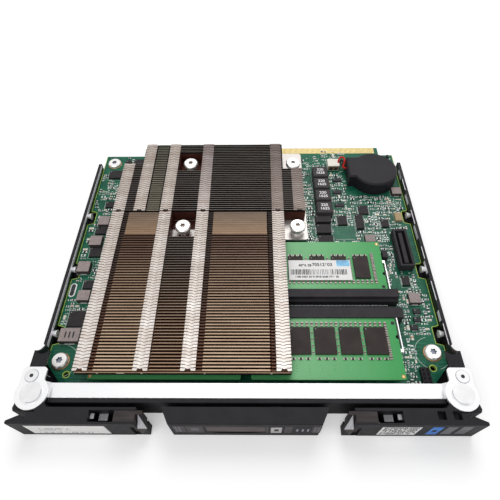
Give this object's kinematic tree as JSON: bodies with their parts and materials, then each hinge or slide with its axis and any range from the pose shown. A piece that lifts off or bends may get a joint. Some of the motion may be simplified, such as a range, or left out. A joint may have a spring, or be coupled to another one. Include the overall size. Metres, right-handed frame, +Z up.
{
  "type": "multi node server sled",
  "caption": "Server sled: a sheet steel tray with one board of four processors under a shared finned heatsink, memory modules, and two ejector levers with sprung latches.",
  "frame": {"origin": "middle of the sled's footprint, on the underside of the tray's floor", "axes": "+X across the sled from the left lever to the right lever, +Y from the lever front to the edge contacts at the rear, +Z up"},
  "size_m": [0.192, 0.1776, 0.018],
  "materials": {
    "bright_steel": "bright plated sheet steel with a fine grain",
    "black_coated_steel": "semi gloss black coating on sheet steel",
    "black_plastic": "charcoal black moulded plastic with a fine spark texture",
    "grey_button": "light grey plastic",
    "switch_black": "black plastic switch body",
    "steel_pins": "plated steel",
    "socket_black": "black moulded socket body",
    "memory_green": "bright green solder mask",
    "arm_steel": "tinned spring steel",
    "board_green": "dark green solder mask with pale print",
    "contact_gold": "gold plated contact",
    "screw_steel": "nickel plated screw",
    "sink_base_nickel": "nickel plated plate",
    "front_fin_copper": "thin metal fins with a warm tan tone",
    "rear_fin_dark": "thin metal fins, dark in the gaps",
    "chip_black": "moulded chip package",
    "thermal_pad_grey": "soft grey pad",
    "inductor_grey": "pressed powder core, taupe grey",
    "battery_sleeve": "glossy black shrink sleeve",
    "plug_ivory": "ivory plastic",
    "lead_red": "red insulation",
    "lead_black": "black insulation",
    "light_clear": "pale diffusing plastic"
  },
  "bodies": {
    "sled": {"battery": "battery_sleeve", "battery_plug": "plug_ivory", "bezel_bar": "black_plastic", "black_lead": "lead_black", "board_screws": "screw_steel", "button_switch": "switch_black", "card_connector": "black_plastic", "centre_bezel": "black_plastic", "corner_rivets": "steel_pins", "crossbar": "bright_steel", "edge_contacts": "contact_gold", "front_fin_stack": "front_fin_copper", "front_left_memory_module": "memory_green", "front_left_socket": "socket_black", "front_right_memory_module": "memory_green", "front_right_socket": "socket_black", "heatsink_base": "sink_base_nickel", "heatsink_screws": "screw_steel", "inductors": "inductor_grey", "large_chips": "chip_black", "left_guide_strip": "black_plastic", "left_pivot_pin": "steel_pins", "light_pipes": "light_clear", "main_board": "board_green", "pin_header": "black_plastic", "processors": "chip_black", "rail_rivets": "steel_pins", "rear_fin_stack": "rear_fin_dark", "rear_left_memory_module": "memory_green", "rear_left_socket": "socket_black", "rear_right_memory_module": "memory_green", "rear_right_socket": "socket_black", "red_lead": "lead_red", "right_guide_strip": "black_plastic", "right_pivot_pin": "steel_pins", "small_chips": "chip_black", "small_inductors": "inductor_grey", "standoffs": "steel_pins", "thermal_pads": "thermal_pad_grey", "tray": "black_coated_steel"},
    "left_lever": {"left_lever": "black_plastic", "left_latch_spring": "steel_pins"},
    "right_lever": {"right_lever": "black_plastic", "right_latch_spring": "steel_pins"},
    "left_latch": {"left_latch": "black_plastic"},
    "right_latch": {"right_latch": "black_plastic"},
    "push_button": {"push_button": "grey_button"},
    "rear_left_outer_arm": {"rear_left_outer_arm": "arm_steel"},
    "rear_left_inner_arm": {"rear_left_inner_arm": "arm_steel"},
    "rear_right_outer_arm": {"rear_right_outer_arm": "arm_steel"},
    "rear_right_inner_arm": {"rear_right_inner_arm": "arm_steel"},
    "front_left_outer_arm": {"front_left_outer_arm": "arm_steel"},
    "front_left_inner_arm": {"front_left_inner_arm": "arm_steel"},
    "front_right_outer_arm": {"front_right_outer_arm": "arm_steel"},
    "front_right_inner_arm": {"front_right_inner_arm": "arm_steel"}
  },
  "joints": [
    {"name": "left_lever_hinge", "type": "hinge", "parent": "sled", "child": "left_lever", "pos_m": [-0.089, -0.0765, 0.009], "axis": [0, 0, -1], "range_deg": [0, 45]},
    {"name": "right_lever_hinge", "type": "hinge", "parent": "sled", "child": "right_lever", "pos_m": [0.089, -0.0765, 0.009], "axis": [0, 0, 1], "range_deg": [0, 45]},
    {"name": "left_latch_slide", "type": "slide", "parent": "left_lever", "child": "left_latch", "axis": [-1, 0, 0], "range_m": [0, 0.0025], "stiffness_N_per_m": 300, "springref_m": -0.001, "deforming": ["left_latch_spring"]},
    {"name": "right_latch_slide", "type": "slide", "parent": "right_lever", "child": "right_latch", "axis": [1, 0, 0], "range_m": [0, 0.0025], "stiffness_N_per_m": 300, "springref_m": -0.001, "deforming": ["right_latch_spring"]},
    {"name": "push_button_slide", "type": "slide", "parent": "sled", "child": "push_button", "axis": [0, 1, 0], "range_m": [0, 0.0008], "stiffness_N_per_m": 400, "springref_m": -0.0005},
    {"name": "rear_left_outer_arm_hinge", "type": "hinge", "parent": "sled", "child": "rear_left_outer_arm", "pos_m": [-0.07075, -0.0245, 0.0106], "axis": [0, 0, 1], "range_deg": [0, 3], "stiffness_Nm_per_rad": 0.02},
    {"name": "rear_left_inner_arm_hinge", "type": "hinge", "parent": "sled", "child": "rear_left_inner_arm", "pos_m": [-0.00145, -0.0245, 0.0106], "axis": [0, 0, -1], "range_deg": [0, 3], "stiffness_Nm_per_rad": 0.02},
    {"name": "rear_right_outer_arm_hinge", "type": "hinge", "parent": "sled", "child": "rear_right_outer_arm", "pos_m": [0.07075, -0.0245, 0.0106], "axis": [0, 0, -1], "range_deg": [0, 3], "stiffness_Nm_per_rad": 0.02},
    {"name": "rear_right_inner_arm_hinge", "type": "hinge", "parent": "sled", "child": "rear_right_inner_arm", "pos_m": [0.00145, -0.0245, 0.0106], "axis": [0, 0, 1], "range_deg": [0, 3], "stiffness_Nm_per_rad": 0.02},
    {"name": "front_left_outer_arm_hinge", "type": "hinge", "parent": "sled", "child": "front_left_outer_arm", "pos_m": [-0.07075, -0.0377, 0.0106], "axis": [0, 0, -1], "range_deg": [0, 3], "stiffness_Nm_per_rad": 0.02},
    {"name": "front_left_inner_arm_hinge", "type": "hinge", "parent": "sled", "child": "front_left_inner_arm", "pos_m": [-0.00145, -0.0377, 0.0106], "axis": [0, 0, 1], "range_deg": [0, 3], "stiffness_Nm_per_rad": 0.02},
    {"name": "front_right_outer_arm_hinge", "type": "hinge", "parent": "sled", "child": "front_right_outer_arm", "pos_m": [0.07075, -0.0377, 0.0106], "axis": [0, 0, 1], "range_deg": [0, 3], "stiffness_Nm_per_rad": 0.02},
    {"name": "front_right_inner_arm_hinge", "type": "hinge", "parent": "sled", "child": "front_right_inner_arm", "pos_m": [0.00145, -0.0377, 0.0106], "axis": [0, 0, -1], "range_deg": [0, 3], "stiffness_Nm_per_rad": 0.02}
  ]
}
